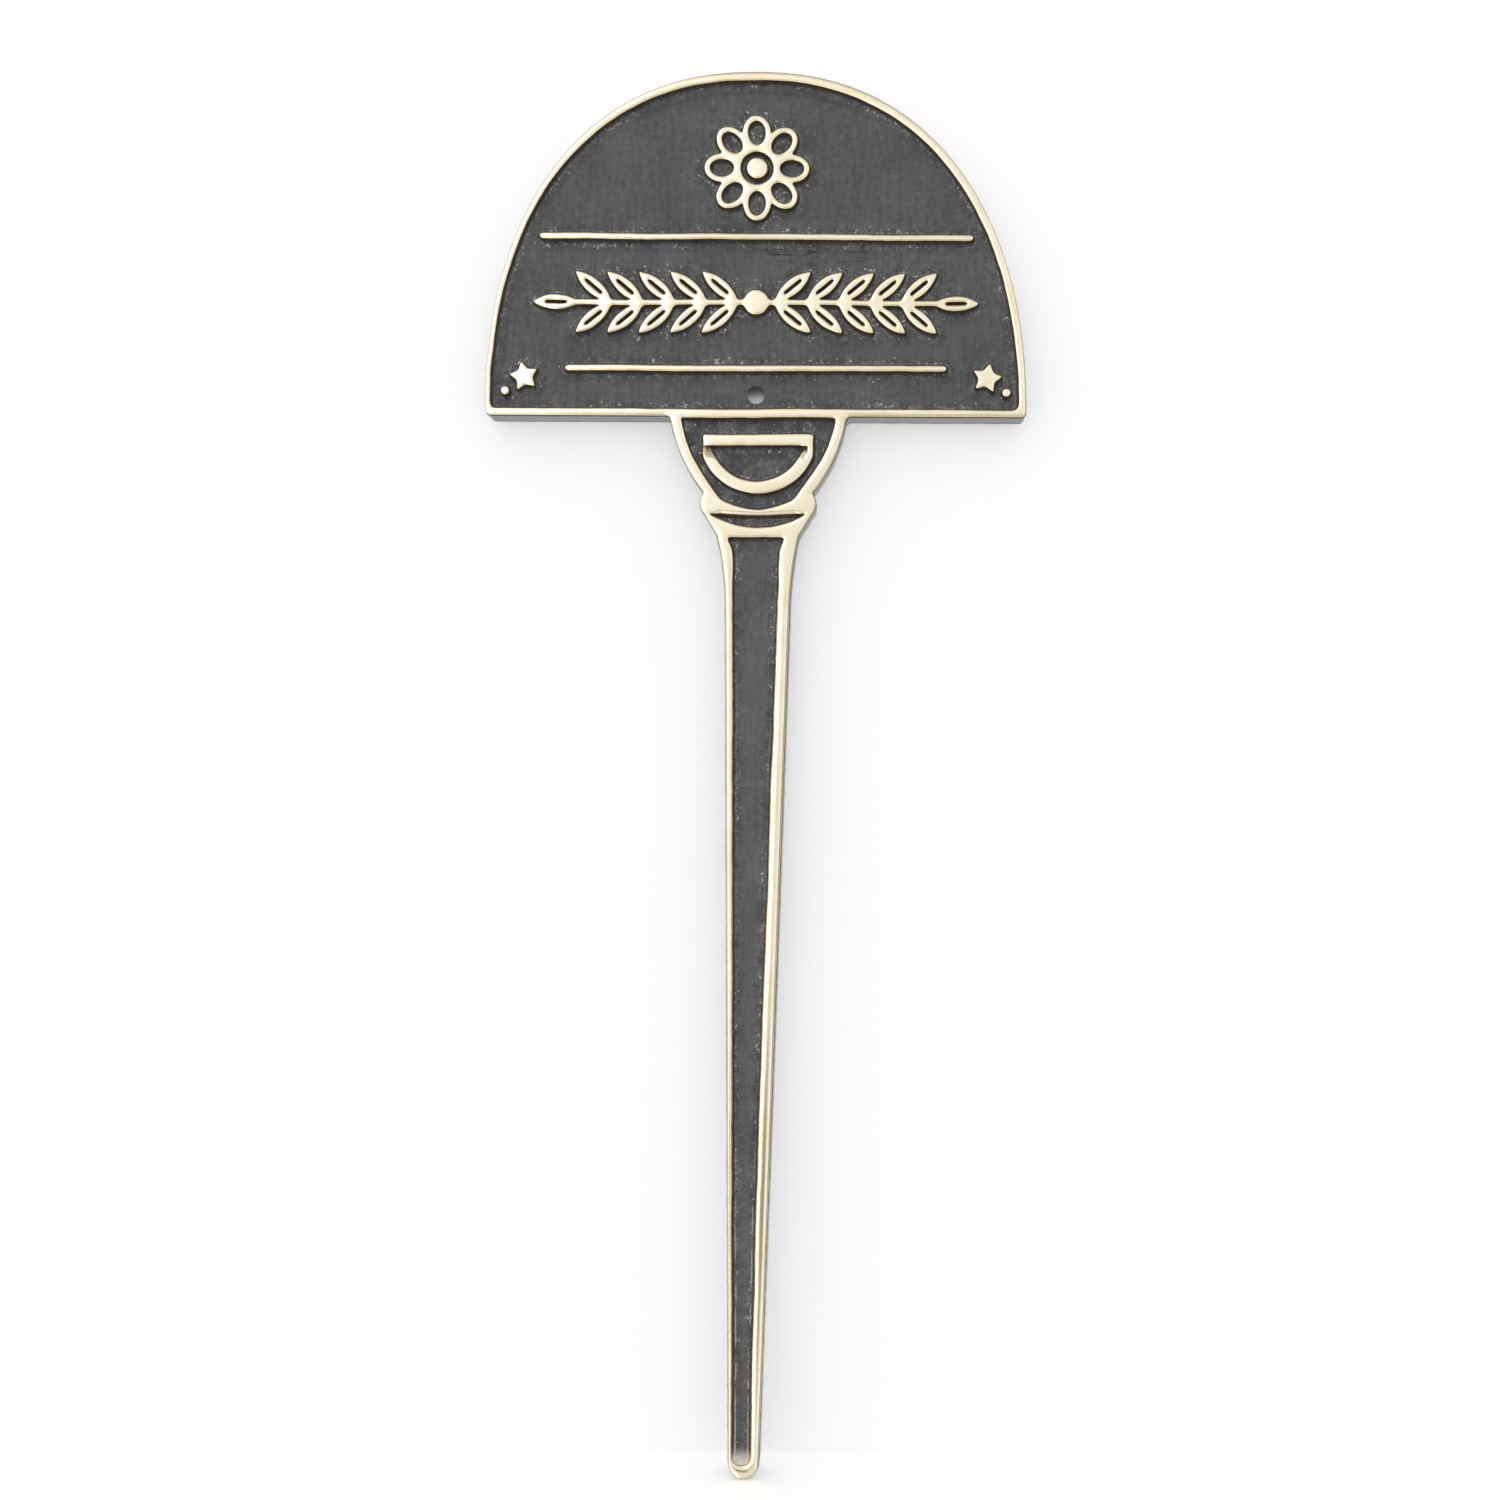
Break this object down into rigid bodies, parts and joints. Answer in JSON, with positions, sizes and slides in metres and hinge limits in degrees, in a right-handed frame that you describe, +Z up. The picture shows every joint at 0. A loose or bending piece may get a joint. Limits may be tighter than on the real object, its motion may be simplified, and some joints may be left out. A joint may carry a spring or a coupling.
{
  "type": "plant label stake",
  "caption": "Cast brass plant label stake: round-topped plate with raised rim and ornament over black paint, on a cup, a collar and a long tapering stem for soil.",
  "frame": {"origin": "middle of the stem's tip, half way through the casting's thickness", "axes": "+Z up along the stake from the tip to the plate, front face towards -Y, +X to the right of someone facing the front"},
  "size_m": [0.0964, 0.0062, 0.2503],
  "materials": {
    "polished_brass": "sand-cast brass, raised faces polished",
    "black_paint": "satin black enamel film over a rough cast surface"
  },
  "bodies": {
    "root": {"brass_casting": "polished_brass", "plate_paint": "black_paint", "rosette_paint": "black_paint", "leaf_vein_paint": "black_paint", "cup_paint": "black_paint", "d_panel_paint": "black_paint", "collar_paint": "black_paint", "stem_paint": "black_paint", "edge_and_back_paint": "black_paint"}
  },
  "joints": []
}
